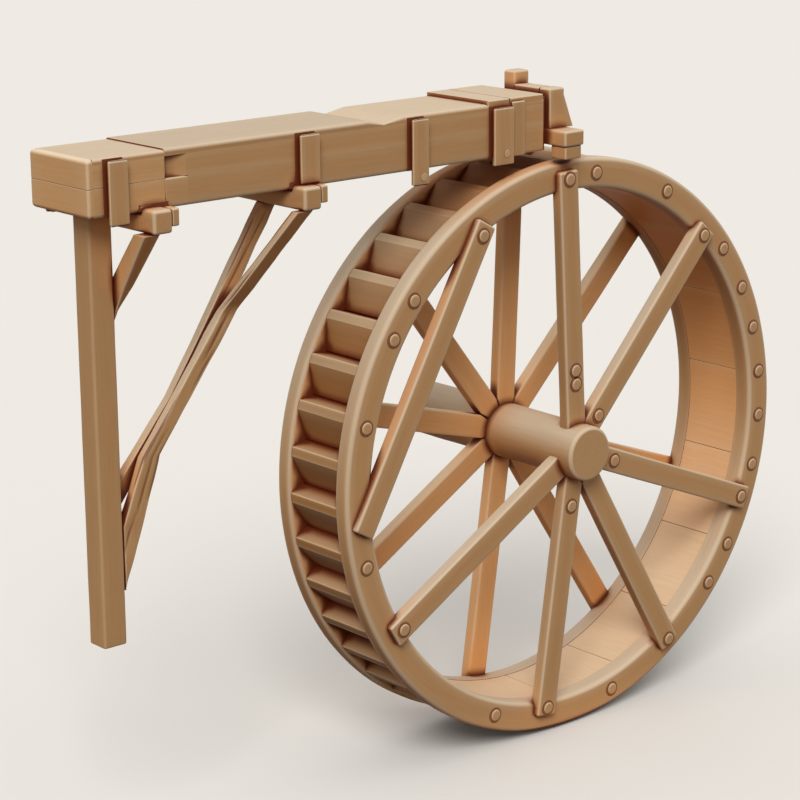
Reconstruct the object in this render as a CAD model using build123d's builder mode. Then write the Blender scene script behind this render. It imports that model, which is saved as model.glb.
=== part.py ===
"""Timber overshot water wheel, 4 m across, with the launder that brings the water over its top.

Lengths are in millimetres. +Z is up, X runs along the launder, and the wheel turns about a line along Y.
The origin is the middle of the post's foot. The front of the wheel faces -Y.
"""
import os
from math import radians, sqrt, tan

from build123d import *

# Post and launder levels
post_size = 170.0
post_arris = 10.0
launder_underside = 2690.0
launder_depth = 355.0
launder_width = 600.0
launder_left = -220.0
launder_right = 3360.0
side_thickness = 60.0
floor_thickness = 50.0
cover_thickness = 45.0
left_cover_step = 10.0
end_board_thickness = 40.0
board_arris = 5.0
side_joint_x = 320.0
side_notch_length = 120.0
side_notch_height = 175.0
side_notch_depth = 35.0
cover_dip_x = 1986.0
cover_dip_left = 120.0
cover_dip_right = 164.0
cover_dip_depth = 34.0
outlet_slot = 144.0
seam_groove = 4.0

# Cleats and the two cap boards at the outlet end
cleat_width = 135.0
cleat_thickness = 45.0
cleat_arris = 8.0
cleat_top_drop = 24.0
left_cleat_x = -32.0
left_cleat_hang = 50.0
middle_cleat_offset = 50.0
middle_cleat_width = 150.0
hanging_cleat_x = 2260.0
hanging_cleat_hang = 90.0
outlet_cleat_x = 2974.0
outlet_cleat_width = 172.0
outlet_cleat_hang = 45.0
strap_width = 118.0
strap_thickness = 20.0
strap_gap = 3.0
cap_board_thickness = 25.0
cap_board_left = 2866.0

# Bearers under the launder
bearer_width = 140.0
bearer_height = 148.0
bearer_overhang = 125.0
bearer_arris = 10.0
bearer_housing = 25.0
bearer_clearance = 1.0
left_bearer_x = 212.0
middle_bearer_x = 1322.0
block_thickness = 52.0
block_height = 112.0
block_inset = 5.0
block_side_gap = 18.0

# Outlet frame at the right end
outlet_bearer_reach = 105.0
outlet_bearer_width = 180.0
outlet_bearer_height = 107.0
outlet_bearer_lift = 35.0
upright_inset = 18.0
upright_width = 137.0
upright_thickness = 110.0
upright_rise = 50.0
rear_upright_extra = 85.0
rear_upright_y = 95.0
gusset_reach = 85.0
gusset_thickness = 60.0
top_bar_width = 120.0
top_bar_height = 90.0
foot_block_height = 85.0
foot_block_inset = 12.0
foot_block_width = 150.0
foot_block_length = 140.0

# Struts from the post
raker_depth = 136.0
raker_thickness = 78.0
raker_spacing = 10.0
front_raker_toe = 340.0
front_raker_heel = 741.0
front_raker_heel_depth = 162.0
front_raker_knee_x = 250.0
front_raker_knee_z = 1138.0
front_raker_bend_x = 863.0
front_raker_bend_z = 1950.0
front_raker_top_shift = 50.0
front_raker_top_inset = 12.0
rear_raker_toe = 780.0
rear_raker_heel = 951.0
rear_raker_bend_x = 520.0
rear_raker_bend_z = 1458.0
knee_thickness = 120.0
knee_depth = 120.0
knee_drop = 550.0
knee_reach = 345.0

# Wheel, placed from the launder's right end and underside
wheel_radius = 2000.0
wheel_half_width = 360.0
wheel_outlet_offset = 240.0
wheel_top_gap = 70.0
rim_depth = 210.0
rim_thickness = 130.0
rim_bevel = 18.0
sole_thickness = 45.0
sole_setback = 5.0
bucket_count = 40
bucket_groups = 3
bucket_first_angle = 2.1
bucket_edge = 64.0
bucket_setback = 15.0
bucket_lean = 50.0
bucket_back_height = 40.0
bucket_heel_depth = 10.0
bucket_gap = 2.0

# Axle and arms
axle_radius = 195.0
axle_front = 530.0
axle_rear = 1200.0
axle_bevel = 14.0
journal_relief = 1.0
journal_gap = 15.0
arm_width = 170.0
arm_thickness = 92.0
arm_housing = 42.0
arm_end_inset = 70.0
arm_tenon_width = 90.0
arm_tenon_depth = 25.0
arm_tenon_setback = 12.0
arm_arris = 8.0
arm_clearance = 0.5
mitre_clearance = 2.0
front_arm_angles = [93.0, 47.5, -21.8, -59.6, -98.5, -149.8]
rear_arm_angles = [87.2, 45.0, -20.0, -56.5, -98.5, -149.5, -195.0, -232.0]
chord_angle = 150.5
chord_inset = 453.0
chord_corner_inset = 13.0
chord_width = 165.0

# Derived levels and planes
wheel_x = launder_right + wheel_outlet_offset
wheel_z = launder_underside - wheel_top_gap - wheel_radius
arm_end_radius = wheel_radius - arm_end_inset
chord_distance = wheel_radius - chord_inset
chord_half_length = sqrt((wheel_radius - chord_corner_inset) ** 2 - (chord_distance + chord_width / 2) ** 2)
bearer_length = launder_width + 2 * bearer_overhang
block_length = bearer_overhang - block_inset - block_side_gap
outlet_bearer_length = 2 * (wheel_half_width + outlet_bearer_reach)
launder_top = launder_underside + launder_depth
cover_underside = launder_top - cover_thickness
half_launder = launder_width / 2
half_post = post_size / 2
bearer_top = launder_underside + bearer_housing
bearer_underside = bearer_top - bearer_height
knee_foot_z = bearer_underside - knee_drop
side_left = launder_left + end_board_thickness
floor_right = launder_right - outlet_slot
outlet_bearer_left = launder_right + end_board_thickness
outlet_bearer_underside = launder_underside + outlet_bearer_lift
outlet_bearer_top = outlet_bearer_underside + outlet_bearer_height
rim_inner = wheel_radius - rim_depth
sole_inner = rim_inner + sole_setback
sole_outer = sole_inner + sole_thickness
bucket_outer = wheel_radius - bucket_setback
bucket_pitch = 360 / bucket_count
inner_half_width = wheel_half_width - rim_thickness
arm_back = wheel_half_width - arm_housing
journal_start = arm_back + arm_thickness + journal_gap

os.makedirs("parts", exist_ok=True)


# The square post stands under the launder
with BuildPart() as post:
    with Locations((0, 0, launder_underside / 2)):
        Box(post_size, post_size, launder_underside)
    chamfer(post.edges().filter_by(Axis.Z), post_arris)
post.part.label = "post"
export_step(post.part, "parts/post.step")


# Bearers: the launder sits down between their raised ends
bearer_places = {"left_bearer": left_bearer_x, "middle_bearer": middle_bearer_x}
for bearer_name, bearer_x in bearer_places.items():
    with BuildPart() as bearer:
        with Locations((bearer_x, 0, bearer_underside)):
            Box(bearer_width, bearer_length, bearer_height, align=(Align.CENTER, Align.CENTER, Align.MIN))
        chamfer(bearer.edges(), bearer_arris)
        with Locations((bearer_x, 0, launder_underside)):
            Box(
                bearer_width,
                launder_width + 2 * bearer_clearance,
                bearer_height,
                align=(Align.CENTER, Align.CENTER, Align.MIN),
                mode=Mode.SUBTRACT,
            )
    bearer.part.label = bearer_name
    export_step(bearer.part, f"parts/{bearer_name}.step")


# Packing blocks spiked to the right of each raised bearer end
with BuildPart() as bearer_blocks:
    for bearer_x in bearer_places.values():
        for side in (-1, 1):
            block_y = side * (bearer_length / 2 - block_inset - block_length / 2)
            block_x = bearer_x + bearer_width / 2
            with Locations((block_x, block_y, bearer_top)):
                Box(block_thickness, block_length, block_height, align=(Align.MIN, Align.CENTER, Align.MAX))
    chamfer(bearer_blocks.faces().filter_by(Axis.X).group_by(Axis.X)[-1].edges(), bearer_arris)
    chamfer(bearer_blocks.faces().filter_by(Axis.X).group_by(Axis.X)[1].edges(), bearer_arris)
bearer_blocks.part.label = "bearer_blocks"
export_step(bearer_blocks.part, "parts/bearer_blocks.step")


# Floor board, stopped short of the end to leave the outlet slot over the wheel
with BuildPart() as launder_floor:
    with Locations((side_left, 0, launder_underside)):
        Box(
            floor_right - side_left,
            launder_width - 2 * side_thickness,
            floor_thickness,
            align=(Align.MIN, Align.CENTER, Align.MIN),
        )
launder_floor.part.label = "launder_floor"
export_step(launder_floor.part, "parts/launder_floor.step")


# Side boards: a short pair at the left and a long pair with a housing cut in the upper corner
for side_name, side in {"front": -1, "rear": 1}.items():
    side_y = side * (half_launder - side_thickness / 2)
    with BuildPart() as left_side:
        with Locations((side_left, side_y, launder_underside)):
            Box(
                side_joint_x - side_left,
                side_thickness,
                cover_underside - launder_underside,
                align=(Align.MIN, Align.CENTER, Align.MIN),
            )
        with Locations((side_left, side * half_launder, (launder_underside + launder_top) / 2)):
            Box(
                side_joint_x - side_left,
                2 * seam_groove,
                seam_groove,
                align=(Align.MIN, Align.CENTER, Align.CENTER),
                mode=Mode.SUBTRACT,
            )
    left_side.part.label = f"left_side_{side_name}"
    export_step(left_side.part, f"parts/left_side_{side_name}.step")
    with BuildPart() as long_side:
        with Locations((side_joint_x, side_y, launder_underside)):
            Box(
                launder_right - side_joint_x,
                side_thickness,
                cover_underside - launder_underside,
                align=(Align.MIN, Align.CENTER, Align.MIN),
            )
        with Locations((side_joint_x, side * half_launder, launder_top)):
            Box(
                side_notch_length,
                2 * side_notch_depth,
                2 * side_notch_height,
                align=(Align.MIN, Align.CENTER, Align.CENTER),
                mode=Mode.SUBTRACT,
            )
    long_side.part.label = f"long_side_{side_name}"
    export_step(long_side.part, f"parts/long_side_{side_name}.step")


# Left end: two boards, one above the other
end_height = (launder_depth - left_cover_step) / 2
for end_name, end_level in {"end_board_lower": 0, "end_board_upper": 1}.items():
    with BuildPart() as end_board:
        with Locations((launder_left, 0, launder_underside + end_level * end_height)):
            Box(end_board_thickness, launder_width, end_height, align=(Align.MIN, Align.CENTER, Align.MIN))
        chamfer(end_board.faces().sort_by(Axis.X)[0].edges(), board_arris)
    end_board.part.label = end_name
    export_step(end_board.part, f"parts/{end_name}.step")


# Cover boards: the middle and right ones are hewn down to a shallow dip where they meet
with BuildPart() as cover_left:
    with Locations((side_left, 0, cover_underside)):
        Box(
            side_joint_x - side_left,
            launder_width,
            cover_thickness - left_cover_step,
            align=(Align.MIN, Align.CENTER, Align.MIN),
        )
    chamfer(cover_left.faces().sort_by(Axis.Z)[-1].edges().filter_by(Axis.X), board_arris)
cover_left.part.label = "cover_left"
export_step(cover_left.part, "parts/cover_left.step")

with BuildPart() as cover_middle:
    with BuildSketch(Plane.XZ.offset(-half_launder)):
        with BuildLine():
            Polyline(
                (side_joint_x, cover_underside),
                (cover_dip_x, cover_underside),
                (cover_dip_x, launder_top - cover_dip_depth),
                (cover_dip_x - cover_dip_left, launder_top),
                (side_joint_x, launder_top),
                close=True,
            )
        make_face()
    extrude(amount=launder_width)
    chamfer(cover_middle.faces().sort_by(Axis.Z)[-1].edges().filter_by(Axis.X), board_arris)
cover_middle.part.label = "cover_middle"
export_step(cover_middle.part, "parts/cover_middle.step")

with BuildPart() as cover_right:
    with BuildSketch(Plane.XZ.offset(-half_launder)):
        with BuildLine():
            Polyline(
                (cover_dip_x, cover_underside),
                (launder_right, cover_underside),
                (launder_right, launder_top),
                (cover_dip_x + cover_dip_right, launder_top),
                (cover_dip_x, launder_top - cover_dip_depth),
                close=True,
            )
        make_face()
    extrude(amount=launder_width)
    chamfer(cover_right.faces().sort_by(Axis.Z)[-1].edges().filter_by(Axis.X), board_arris)
cover_right.part.label = "cover_right"
export_step(cover_right.part, "parts/cover_right.step")


# Two cap boards strengthen the cover over the outlet
cap_joint = outlet_cleat_x + outlet_cleat_width / 2
cap_spans = {"cap_board_left": (cap_board_left, cap_joint), "cap_board_right": (cap_joint, launder_right)}
for cap_name, cap_span in cap_spans.items():
    with BuildPart() as cap_board:
        with Locations((cap_span[0], 0, launder_top)):
            Box(
                cap_span[1] - cap_span[0],
                launder_width,
                cap_board_thickness,
                align=(Align.MIN, Align.CENTER, Align.MIN),
            )
        chamfer(cap_board.faces().sort_by(Axis.Z)[-1].edges(), board_arris)
    cap_board.part.label = cap_name
    export_step(cap_board.part, f"parts/{cap_name}.step")


# Upright cleats that bind the side boards: one stands on the middle bearer, the others hang below the floor
for side_name, side in {"front": -1, "rear": 1}.items():
    with BuildPart() as cleats:
        cleat_y = side * (half_launder + cleat_thickness / 2)
        cleat_top = launder_top - cleat_top_drop
        hanging = {left_cleat_x: left_cleat_hang, hanging_cleat_x: hanging_cleat_hang}
        for cleat_x, hang in hanging.items():
            cleat_height = cleat_top - launder_underside + hang
            with Locations((cleat_x, cleat_y, cleat_top)):
                Box(cleat_width, cleat_thickness, cleat_height, align=(Align.CENTER, Align.CENTER, Align.MAX))
        with Locations((outlet_cleat_x, cleat_y, cleat_top)):
            Box(
                outlet_cleat_width,
                cleat_thickness,
                cleat_top - launder_underside + outlet_cleat_hang,
                align=(Align.CENTER, Align.CENTER, Align.MAX),
            )
        with Locations((middle_bearer_x + middle_cleat_offset, cleat_y, cleat_top)):
            Box(
                middle_cleat_width,
                cleat_thickness,
                cleat_top - bearer_top,
                align=(Align.CENTER, Align.CENTER, Align.MAX),
            )
        outer_group = -1 if side > 0 else 0
        chamfer(cleats.faces().filter_by(Axis.Y).group_by(Axis.Y)[outer_group].edges(), cleat_arris)
        strap_x = cap_joint + strap_gap
        strap_y = side * (half_launder + strap_thickness / 2)
        with Locations((strap_x, strap_y, launder_underside)):
            Box(strap_width, strap_thickness, launder_depth, align=(Align.MIN, Align.CENTER, Align.MIN))
    cleats.part.label = f"cleats_{side_name}"
    export_step(cleats.part, f"parts/cleats_{side_name}.step")


# Outlet end board closes the launder and carries the outlet frame
with BuildPart() as outlet_end_board:
    with Locations((launder_right, 0, launder_underside)):
        Box(
            end_board_thickness,
            launder_width - 2 * side_thickness + side_thickness,
            launder_depth,
            align=(Align.MIN, Align.CENTER, Align.MIN),
        )
outlet_end_board.part.label = "outlet_end_board"
export_step(outlet_end_board.part, "parts/outlet_end_board.step")


with BuildPart() as outlet_bearer:
    with Locations((outlet_bearer_left, 0, outlet_bearer_underside)):
        Box(
            outlet_bearer_width,
            outlet_bearer_length,
            outlet_bearer_height,
            align=(Align.MIN, Align.CENTER, Align.MIN),
        )
    chamfer(outlet_bearer.edges(), bearer_arris)
outlet_bearer.part.label = "outlet_bearer"
export_step(outlet_bearer.part, "parts/outlet_bearer.step")


with BuildPart() as bearer_feet:
    for side in (-1, 1):
        foot_y = side * (outlet_bearer_length / 2 - foot_block_inset - foot_block_length / 2)
        foot_x = outlet_bearer_left + outlet_bearer_width / 2
        with Locations((foot_x, foot_y, outlet_bearer_underside)):
            Box(
                foot_block_width,
                foot_block_length,
                foot_block_height,
                align=(Align.CENTER, Align.CENTER, Align.MAX),
            )
    chamfer(bearer_feet.edges().filter_by(Axis.Z), board_arris)
bearer_feet.part.label = "bearer_feet"
export_step(bearer_feet.part, "parts/bearer_feet.step")


# Outlet uprights with a small gusset to the right, the rear one taller than the bar between them
upright_left = outlet_bearer_left + upright_inset
front_upright_y = -(half_launder - upright_thickness / 2)
bar_front_y = front_upright_y + upright_thickness / 2
bar_rear_y = rear_upright_y - upright_thickness / 2
upright_places = {
    "front": (front_upright_y, launder_top + upright_rise),
    "rear": (rear_upright_y, launder_top + upright_rise + rear_upright_extra),
}
for side_name, (upright_y, upright_top) in upright_places.items():
    with BuildPart() as upright:
        with Locations((upright_left, upright_y, outlet_bearer_top)):
            Box(
                upright_width,
                upright_thickness,
                upright_top - outlet_bearer_top,
                align=(Align.MIN, Align.CENTER, Align.MIN),
            )
        chamfer(upright.edges(), board_arris)
        with BuildSketch(Plane.XZ.offset(-upright_y - gusset_thickness / 2)):
            with BuildLine():
                Polyline(
                    (upright_left + upright_width / 2, outlet_bearer_top),
                    (upright_left + upright_width + gusset_reach, outlet_bearer_top),
                    (upright_left + upright_width, launder_top),
                    (upright_left + upright_width / 2, launder_top),
                    close=True,
                )
            make_face()
        extrude(amount=gusset_thickness)
    upright.part.label = f"outlet_upright_{side_name}"
    export_step(upright.part, f"parts/outlet_upright_{side_name}.step")

with BuildPart() as outlet_top_bar:
    with Locations((upright_left, bar_front_y, launder_top + upright_rise)):
        Box(
            top_bar_width,
            bar_rear_y - bar_front_y,
            top_bar_height,
            align=(Align.MIN, Align.MIN, Align.MAX),
        )
    chamfer(outlet_top_bar.edges().filter_by(Axis.Y), board_arris)
outlet_top_bar.part.label = "outlet_top_bar"
export_step(outlet_top_bar.part, "parts/outlet_top_bar.step")


# Two long struts, each from a crooked log: the front one turns out to the end of the middle bearer
front_raker_top_y = -(bearer_length / 2 - front_raker_top_inset - raker_thickness / 2)
front_raker_foot_y = -(raker_spacing + raker_thickness) / 2
raker_top_left = middle_bearer_x - raker_depth / 2
front_raker_top_left = raker_top_left - front_raker_top_shift
front_raker_rows = [
    (front_raker_toe, half_post, half_post + post_arris, front_raker_foot_y),
    (front_raker_heel, half_post, half_post + front_raker_heel_depth, front_raker_foot_y),
    (front_raker_knee_z, front_raker_knee_x, front_raker_knee_x + raker_depth, front_raker_foot_y),
    (front_raker_bend_z, front_raker_bend_x, front_raker_bend_x + raker_depth, front_raker_foot_y),
    (bearer_underside, front_raker_top_left, front_raker_top_left + raker_depth, front_raker_top_y),
]
with BuildPart() as front_raker:
    for row_z, row_left, row_right, row_y in front_raker_rows:
        with BuildSketch(Plane.XY.offset(row_z)):
            with Locations(((row_left + row_right) / 2, row_y)):
                Rectangle(row_right - row_left, raker_thickness)
    loft(ruled=True)
front_raker.part.label = "front_raker"
export_step(front_raker.part, "parts/front_raker.step")

rear_raker_y = (raker_spacing + raker_thickness) / 2
rear_raker_rows = [
    (rear_raker_toe, half_post, half_post + post_arris),
    (rear_raker_heel, half_post, half_post + raker_depth),
    (rear_raker_bend_z, rear_raker_bend_x, rear_raker_bend_x + raker_depth),
    (bearer_underside, raker_top_left, raker_top_left + raker_depth),
]
with BuildPart() as rear_raker:
    for row_z, row_left, row_right in rear_raker_rows:
        with BuildSketch(Plane.XY.offset(row_z)):
            with Locations(((row_left + row_right) / 2, rear_raker_y)):
                Rectangle(row_right - row_left, raker_thickness)
    loft(ruled=True)
rear_raker.part.label = "rear_raker"
export_step(rear_raker.part, "parts/rear_raker.step")


# Knee brace on the right of the post, out to the front end of the left bearer
knee_foot_y = knee_depth / 2
knee_top_y = knee_foot_y - knee_reach
with BuildPart() as knee_brace:
    with BuildSketch(Plane.YZ.offset(half_post)):
        with BuildLine():
            Polyline(
                (knee_foot_y, knee_foot_z + knee_depth),
                (knee_top_y, bearer_underside),
                (knee_top_y - knee_depth, bearer_underside),
                (knee_foot_y - knee_depth, knee_foot_z + knee_depth / 2),
                (knee_foot_y - knee_depth, knee_foot_z),
                (knee_foot_y, knee_foot_z),
                close=True,
            )
        make_face()
    extrude(amount=knee_thickness)
knee_brace.part.label = "knee_brace"
export_step(knee_brace.part, "parts/knee_brace.step")


# Wheel rims: bevelled rings with a housing cut in the outer face for each arm
rim_sides = {"front": -1, "rear": 1}
arm_angles = {"front": front_arm_angles, "rear": rear_arm_angles}
for side_name, side in rim_sides.items():
    rim_plane = Plane((wheel_x, side * inner_half_width, wheel_z), x_dir=(1, 0, 0), z_dir=(0, side, 0))
    housing_plane = Plane((wheel_x, side * arm_back, wheel_z), x_dir=(1, 0, 0), z_dir=(0, side, 0))
    with BuildPart() as rim:
        with BuildSketch(rim_plane):
            Circle(wheel_radius)
            Circle(rim_inner, mode=Mode.SUBTRACT)
        extrude(amount=rim_thickness)
        chamfer(rim.edges().filter_by(GeomType.CIRCLE), rim_bevel)
        with BuildSketch(housing_plane):
            for arm_angle in arm_angles[side_name]:
                with Locations(Location((0, 0, 0), (0, 0, -side * arm_angle))):
                    with Locations(((rim_inner - rim_depth + arm_end_radius + arm_clearance) / 2, 0)):
                        Rectangle(
                            arm_end_radius + arm_clearance - rim_inner + rim_depth,
                            arm_width + 2 * arm_clearance,
                        )
            if side < 0:
                with Locations(Location((0, 0, 0), (0, 0, chord_angle))):
                    with Locations((chord_distance, 0)):
                        Rectangle(
                            chord_width + 2 * arm_clearance,
                            2 * chord_half_length + 2 * arm_clearance,
                        )
        extrude(amount=2 * arm_housing, mode=Mode.SUBTRACT)
    rim.part.label = f"rim_{side_name}"
    export_step(rim.part, f"parts/rim_{side_name}.step")


# Sole boards line the wheel between the rims
front_inner_plane = Plane((wheel_x, inner_half_width, wheel_z), x_dir=(1, 0, 0), z_dir=(0, -1, 0))
with BuildPart() as sole:
    with BuildSketch(front_inner_plane):
        Circle(sole_outer)
        Circle(sole_inner, mode=Mode.SUBTRACT)
    extrude(amount=2 * inner_half_width)
sole.part.label = "sole"
export_step(sole.part, "parts/sole.step")


# Bucket boards: wedges on the sole, each with a leaning ledge and a back that runs down to the next board's ledge
ledge_slope = bucket_lean / (bucket_outer - sole_outer)
heel_radius = sole_outer - bucket_heel_depth
back_radius = sole_outer + bucket_back_height
heel_y = -bucket_edge / 2 - ledge_slope * (bucket_outer - heel_radius)
back_y = -bucket_edge / 2 - ledge_slope * (bucket_outer - back_radius)
next_heel = Vector(heel_radius, heel_y - bucket_gap).rotate(Axis.Z, bucket_pitch)
next_back = Vector(back_radius, back_y - bucket_gap).rotate(Axis.Z, bucket_pitch)
for group in range(bucket_groups):
    first_board = group * bucket_count // bucket_groups
    last_board = (group + 1) * bucket_count // bucket_groups
    with BuildPart() as buckets:
        with BuildSketch(front_inner_plane):
            for board in range(first_board, last_board):
                board_angle = bucket_first_angle + board * bucket_pitch
                with Locations(Location((0, 0, 0), (0, 0, board_angle))):
                    Polygon(
                        (heel_radius, heel_y),
                        (bucket_outer, -bucket_edge / 2),
                        (bucket_outer, bucket_edge / 2),
                        (next_back.X, next_back.Y),
                        (next_heel.X, next_heel.Y),
                        align=None,
                    )
            Circle(sole_outer, mode=Mode.SUBTRACT)
        extrude(amount=2 * inner_half_width)
    buckets.part.label = f"bucket_boards_{group + 1}"
    export_step(buckets.part, f"parts/bucket_boards_{group + 1}.step")


# Arms: scribed to the axle, mitred where neighbours crowd there, and let into the rims at their outer ends
arm_root = axle_radius - arm_tenon_depth
tenon_thickness = arm_thickness - 2 * arm_tenon_setback
for side_name, side in rim_sides.items():
    arm_plane = Plane((wheel_x, side * arm_back, wheel_z), x_dir=(1, 0, 0), z_dir=(0, side, 0))
    tenon_plane = Plane((wheel_x, side * (arm_back + arm_tenon_setback), wheel_z), x_dir=(1, 0, 0), z_dir=(0, side, 0))
    angles = arm_angles[side_name]
    with BuildPart() as arms:
        with BuildSketch(arm_plane):
            for arm, arm_angle in enumerate(angles):
                gap_above = (angles[arm - 1] - arm_angle) % 360 / 2
                gap_below = (arm_angle - angles[(arm + 1) % len(angles)]) % 360 / 2
                shoulder_above = max(arm_root, arm_width / 2 / tan(radians(gap_above)) + mitre_clearance)
                shoulder_below = max(arm_root, arm_width / 2 / tan(radians(gap_below)) + mitre_clearance)
                foot_above = min(arm_width / 2, (arm_root - mitre_clearance) * tan(radians(gap_above)))
                foot_below = min(arm_width / 2, (arm_root - mitre_clearance) * tan(radians(gap_below)))
                with Locations(Location((0, 0, 0), (0, 0, -side * arm_angle))):
                    Polygon(
                        (arm_root, -side * foot_above),
                        (shoulder_above, -side * arm_width / 2),
                        (arm_end_radius, -side * arm_width / 2),
                        (arm_end_radius, side * arm_width / 2),
                        (shoulder_below, side * arm_width / 2),
                        (arm_root, side * foot_below),
                        align=None,
                    )
            Circle(axle_radius + arm_clearance, mode=Mode.SUBTRACT)
        extrude(amount=arm_thickness)
        outer_group = -1 if side > 0 else 0
        outer_edges = arms.faces().filter_by(Axis.Y).group_by(Axis.Y)[outer_group].edges().filter_by(GeomType.LINE)
        chamfer(outer_edges.filter_by(lambda edge: edge.length > arm_width - arm_arris), arm_arris)
        with BuildSketch(tenon_plane):
            for arm_angle in angles:
                with Locations(Location((0, 0, 0), (0, 0, -side * arm_angle))):
                    with Locations((arm_root + arm_tenon_depth, 0)):
                        Rectangle(2 * arm_tenon_depth, arm_tenon_width)
        extrude(amount=tenon_thickness)
    arms.part.label = f"arms_{side_name}"
    export_step(arms.part, f"parts/arms_{side_name}.step")

with BuildPart() as chord_board:
    chord_plane = Plane((wheel_x, -arm_back, wheel_z), x_dir=(1, 0, 0), z_dir=(0, -1, 0))
    with BuildSketch(chord_plane):
        with Locations(Location((0, 0, 0), (0, 0, chord_angle))):
            with Locations((chord_distance, 0)):
                Rectangle(chord_width, 2 * chord_half_length)
    extrude(amount=arm_thickness)
    chamfer(chord_board.faces().sort_by(Axis.Y)[0].edges(), arm_arris)
chord_board.part.label = "chord_board"
export_step(chord_board.part, "parts/chord_board.step")


# Round timber axle with a mortise for each arm, and its two ends turned down a little as journals
axle_plane = Plane((wheel_x, axle_rear, wheel_z), x_dir=(1, 0, 0), z_dir=(0, -1, 0))
waist_plane = Plane((wheel_x, journal_start, wheel_z), x_dir=(1, 0, 0), z_dir=(0, -1, 0))
mortise_outer = axle_radius + arm_tenon_depth
mortise_inner = axle_radius - arm_tenon_depth - arm_clearance
with BuildPart() as axle:
    with BuildSketch(axle_plane):
        Circle(axle_radius - journal_relief)
    extrude(amount=axle_rear + axle_front)
    chamfer(axle.edges().filter_by(GeomType.CIRCLE), axle_bevel)
    with BuildSketch(waist_plane):
        Circle(axle_radius)
    extrude(amount=2 * journal_start)
    for side_name, side in rim_sides.items():
        mortise_plane = Plane(
            (wheel_x, side * (arm_back + arm_tenon_setback), wheel_z), x_dir=(1, 0, 0), z_dir=(0, side, 0)
        )
        with BuildSketch(mortise_plane):
            for arm_angle in arm_angles[side_name]:
                with Locations(Location((0, 0, 0), (0, 0, -side * arm_angle))):
                    with Locations(((mortise_inner + mortise_outer) / 2, 0)):
                        Rectangle(mortise_outer - mortise_inner, arm_tenon_width)
        extrude(amount=tenon_thickness, mode=Mode.SUBTRACT)
axle.part.label = "axle"
export_step(axle.part, "parts/axle.step")
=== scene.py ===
"""Timber overshot water wheel and its boarded launder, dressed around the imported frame.

Lengths in the classes are in millimetres and angles in degrees, in the part's own frame: X runs along the
launder, Z is up, and the wheel turns about a line along Y with its front towards -Y.
"""

import logging
import math
import random
from collections.abc import Callable, Sequence
from dataclasses import dataclass, field
from enum import Enum
from typing import Any

import bmesh
import bpy
from mathutils import Matrix, Vector, noise


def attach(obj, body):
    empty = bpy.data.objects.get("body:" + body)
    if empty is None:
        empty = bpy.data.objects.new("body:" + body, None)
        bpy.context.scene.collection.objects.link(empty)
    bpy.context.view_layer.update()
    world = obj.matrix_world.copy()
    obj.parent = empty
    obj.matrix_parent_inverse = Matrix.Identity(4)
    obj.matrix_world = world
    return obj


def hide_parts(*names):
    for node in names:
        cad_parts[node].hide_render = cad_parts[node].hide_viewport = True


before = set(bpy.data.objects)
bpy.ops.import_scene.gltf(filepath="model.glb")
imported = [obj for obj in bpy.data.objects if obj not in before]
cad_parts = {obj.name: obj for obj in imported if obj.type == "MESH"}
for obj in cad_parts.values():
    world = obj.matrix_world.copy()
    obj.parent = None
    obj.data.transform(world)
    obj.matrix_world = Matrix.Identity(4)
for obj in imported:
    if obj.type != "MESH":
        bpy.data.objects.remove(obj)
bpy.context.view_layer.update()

LOG = logging.getLogger("water_wheel")
MM = 0.001
X_AXIS = Vector((1, 0, 0))
Y_AXIS = Vector((0, 1, 0))
Z_AXIS = Vector((0, 0, 1))
WHEEL_CENTRE = Vector((3600.0, 0.0, 620.0))
Place = Callable[[float, float, float], Vector]
Point = tuple[float, float]
Arris = tuple[float, float, float, float]
Rows = Sequence[tuple[float, ...]]


class Body(Enum):
    """The two bodies of the plant."""

    LAUNDER_FRAME = "launder_frame"
    WHEEL = "wheel"


class Side(Enum):
    """Front and rear of the plant, as the sign of Y."""

    FRONT = -1
    REAR = 1

    @property
    def label(self) -> str:
        """The word that node names use."""
        return self.name.lower()

    def span(self, inner: float, outer: float) -> Point:
        """The lower and the higher Y of two distances from the middle."""
        low, high = sorted((self.value * inner, self.value * outer))
        return low, high


def linear(hex_colour: str) -> tuple[float, float, float, float]:
    """Turn an sRGB hex colour into linear light.

    Args:
        hex_colour: Six hex digits after a hash.

    Returns:
        Red, green, blue and an alpha of 1.
    """
    channels = []
    for start in (1, 3, 5):
        value = int(hex_colour[start : start + 2], 16) / 255
        channels.append(value / 12.92 if value <= 0.04045 else ((value + 0.055) / 1.055) ** 2.4)
    return channels[0], channels[1], channels[2], 1.0


def empty_tree(owner: bpy.types.Material | bpy.types.World) -> bpy.types.NodeTree:
    """Switch on the nodes of a material or world and clear them.

    Args:
        owner: The material or world.

    Returns:
        Its empty node tree.
    """
    owner.use_nodes = True
    owner.node_tree.nodes.clear()
    return owner.node_tree


def add_node(
    tree: bpy.types.NodeTree,
    kind: str,
    settings: dict[str | int, Any] | None = None,
    links: dict[str | int, bpy.types.NodeSocket] | None = None,
) -> bpy.types.Node:
    """Add one shader node with its settings and links.

    Args:
        tree: The node tree of a material or world.
        kind: The node's type name.
        settings: Values by property name, or by input name or number.
        links: Output sockets by the name or number of the input that they feed.

    Returns:
        The new node.
    """
    node = tree.nodes.new(kind)
    for key, value in (settings or {}).items():
        if isinstance(key, str) and hasattr(node, key):
            setattr(node, key, value)
        else:
            node.inputs[key].default_value = value
    for key, source in (links or {}).items():
        tree.links.new(source, node.inputs[key])
    return node


def fill_ramp(node: bpy.types.Node, stops: Sequence[tuple[float, tuple[float, ...]]]) -> None:
    """Give a colour ramp its stops.

    Args:
        node: The ramp node.
        stops: Pairs of position and linear colour, lowest first.
    """
    elements = node.color_ramp.elements
    while len(elements) < len(stops):
        elements.new(0.5)
    for element, (position, colour) in zip(elements, stops):
        element.position = position
        element.color = colour


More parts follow.
